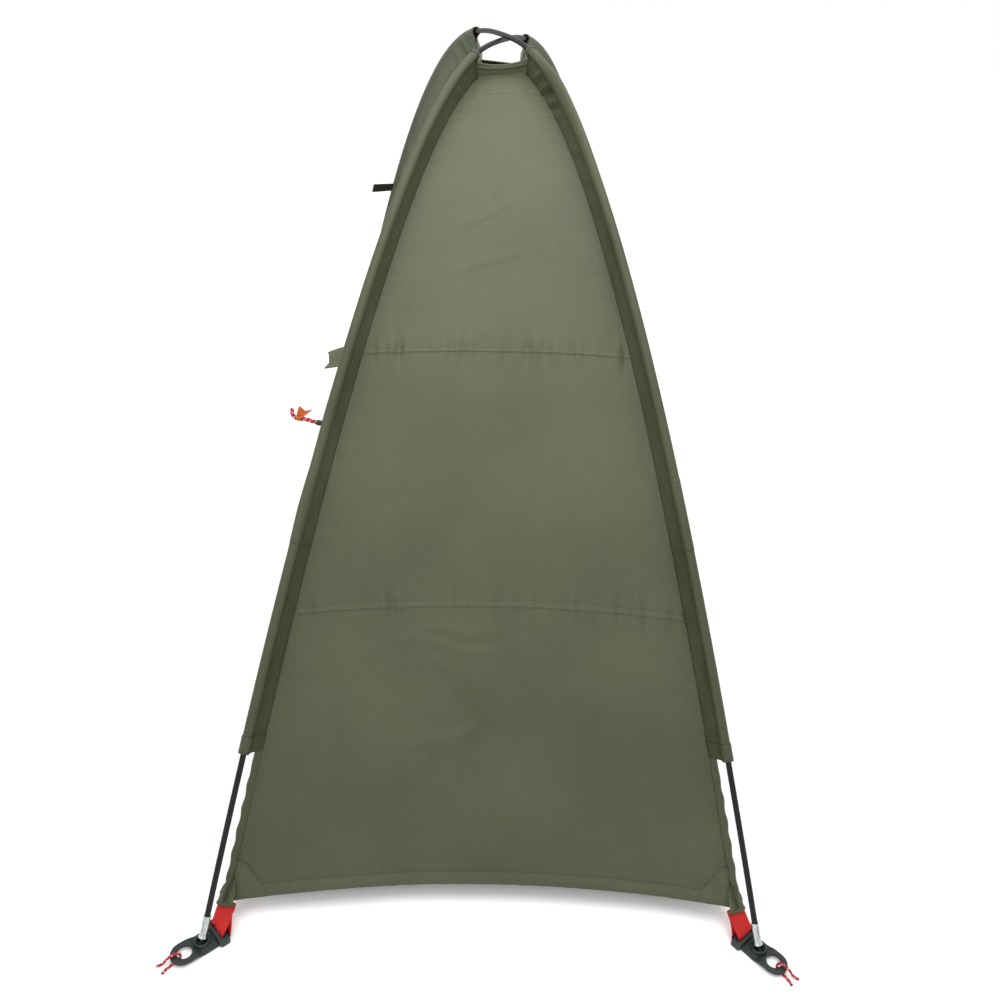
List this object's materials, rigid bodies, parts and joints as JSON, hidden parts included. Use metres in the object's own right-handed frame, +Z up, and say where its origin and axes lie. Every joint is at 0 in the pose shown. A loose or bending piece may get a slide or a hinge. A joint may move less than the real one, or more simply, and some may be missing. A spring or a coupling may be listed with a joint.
{
  "type": "tent on poles",
  "caption": "Low narrow tent with an open top, hung from two crossing bent poles in wide sleeves, with webbed corner peg plates and a zipped side door.",
  "frame": {"origin": "on the ground at the middle of the footprint", "axes": "+Z up, -Y towards the front end panel, +X towards the right side panel; the door is on the -X side"},
  "size_m": [0.9266, 2.1198, 1.0912],
  "materials": {
    "canopy_cloth": "woven cloth with a soft coated sheen",
    "sleeve_cloth": "woven cloth with a soft coated sheen",
    "pole": "dark wound glass-fibre tube, satin",
    "ferrule": "dark satin",
    "pole_tip": "turned and polished",
    "peg_plate": "moulded nylon, fine grain",
    "corner_webbing": "woven red webbing",
    "black_webbing": "woven dark webbing",
    "cord": "braided red cord with white flecks",
    "elastic": "braided elastic cord",
    "zip": "coil zip on dark tape",
    "zip_slider": "dark plated casting",
    "pull_tab": "folded orange cloth"
  },
  "bodies": {
    "canopy_and_poles": {"pole_sleeve_front_left": "sleeve_cloth", "pole_tip_front_left": "pole_tip", "pole_sleeve_front_right": "sleeve_cloth", "pole_tip_front_right": "pole_tip", "pole_sleeve_rear_left": "sleeve_cloth", "pole_tip_rear_left": "pole_tip", "pole_sleeve_rear_right": "sleeve_cloth", "pole_tip_rear_right": "pole_tip", "pole_a_section_1": "pole", "pole_a_section_2": "pole", "pole_a_section_3": "pole", "pole_a_section_4": "pole", "pole_a_section_5": "pole", "pole_a_ferrule_1": "ferrule", "pole_a_ferrule_2": "ferrule", "pole_a_ferrule_3": "ferrule", "pole_a_ferrule_4": "ferrule", "shock_cord_a": "elastic", "pole_b_section_1": "pole", "pole_b_section_2": "pole", "pole_b_section_3": "pole", "pole_b_section_4": "pole", "pole_b_section_5": "pole", "pole_b_ferrule_1": "ferrule", "pole_b_ferrule_2": "ferrule", "pole_b_ferrule_3": "ferrule", "pole_b_ferrule_4": "ferrule", "shock_cord_b": "elastic", "front_panel": "canopy_cloth", "rear_panel": "canopy_cloth", "right_panel": "canopy_cloth", "left_panel_top": "canopy_cloth", "left_panel_front": "canopy_cloth", "left_panel_rear": "canopy_cloth", "zip_track": "zip", "door_tie_tab": "canopy_cloth", "guy_loop": "black_webbing"},
    "front_left_foot": {"peg_plate_front_left": "peg_plate", "corner_webbing_front_left": "corner_webbing", "peg_cord_front_left": "cord"},
    "front_right_foot": {"peg_plate_front_right": "peg_plate", "corner_webbing_front_right": "corner_webbing", "peg_cord_front_right": "cord"},
    "rear_left_foot": {"peg_plate_rear_left": "peg_plate", "corner_webbing_rear_left": "corner_webbing", "peg_cord_rear_left": "cord"},
    "rear_right_foot": {"peg_plate_rear_right": "peg_plate", "corner_webbing_rear_right": "corner_webbing", "peg_cord_rear_right": "cord"},
    "door": {"door_flap": "canopy_cloth"},
    "slider": {"zip_slider": "zip_slider"},
    "zip_pull": {"zip_pull_cord": "cord", "zip_pull_tab": "pull_tab"}
  },
  "joints": [
    {"name": "front_left_foot_turn", "type": "hinge", "parent": "canopy_and_poles", "child": "front_left_foot", "pos_m": [-0.4, -1, 0.006], "axis": [0, 0, 1], "range_deg": [-10, 10]},
    {"name": "front_right_foot_turn", "type": "hinge", "parent": "canopy_and_poles", "child": "front_right_foot", "pos_m": [0.4, -1, 0.006], "axis": [0, 0, 1], "range_deg": [-10, 10]},
    {"name": "rear_left_foot_turn", "type": "hinge", "parent": "canopy_and_poles", "child": "rear_left_foot", "pos_m": [-0.4, 1, 0.006], "axis": [0, 0, 1], "range_deg": [-10, 10]},
    {"name": "rear_right_foot_turn", "type": "hinge", "parent": "canopy_and_poles", "child": "rear_right_foot", "pos_m": [0.4, 1, 0.006], "axis": [0, 0, 1], "range_deg": [-10, 10]},
    {"name": "door_swing", "type": "hinge", "parent": "canopy_and_poles", "child": "door", "pos_m": [-0.29772, -0.14757, 0.08237], "axis": [-0.1983, 0.0043, -0.9801], "range_deg": [0, 95]},
    {"name": "zip_run", "type": "slide", "parent": "canopy_and_poles", "child": "slider", "axis": [-0.2052, -0.524, -0.8266], "range_m": [0, 0.644]},
    {"name": "pull_swing", "type": "hinge", "parent": "slider", "child": "zip_pull", "pos_m": [-0.23771, -0.55834, 0.60633], "axis": [-0.0217, 0.8468, -0.5315], "range_deg": [-75, 40]}
  ]
}
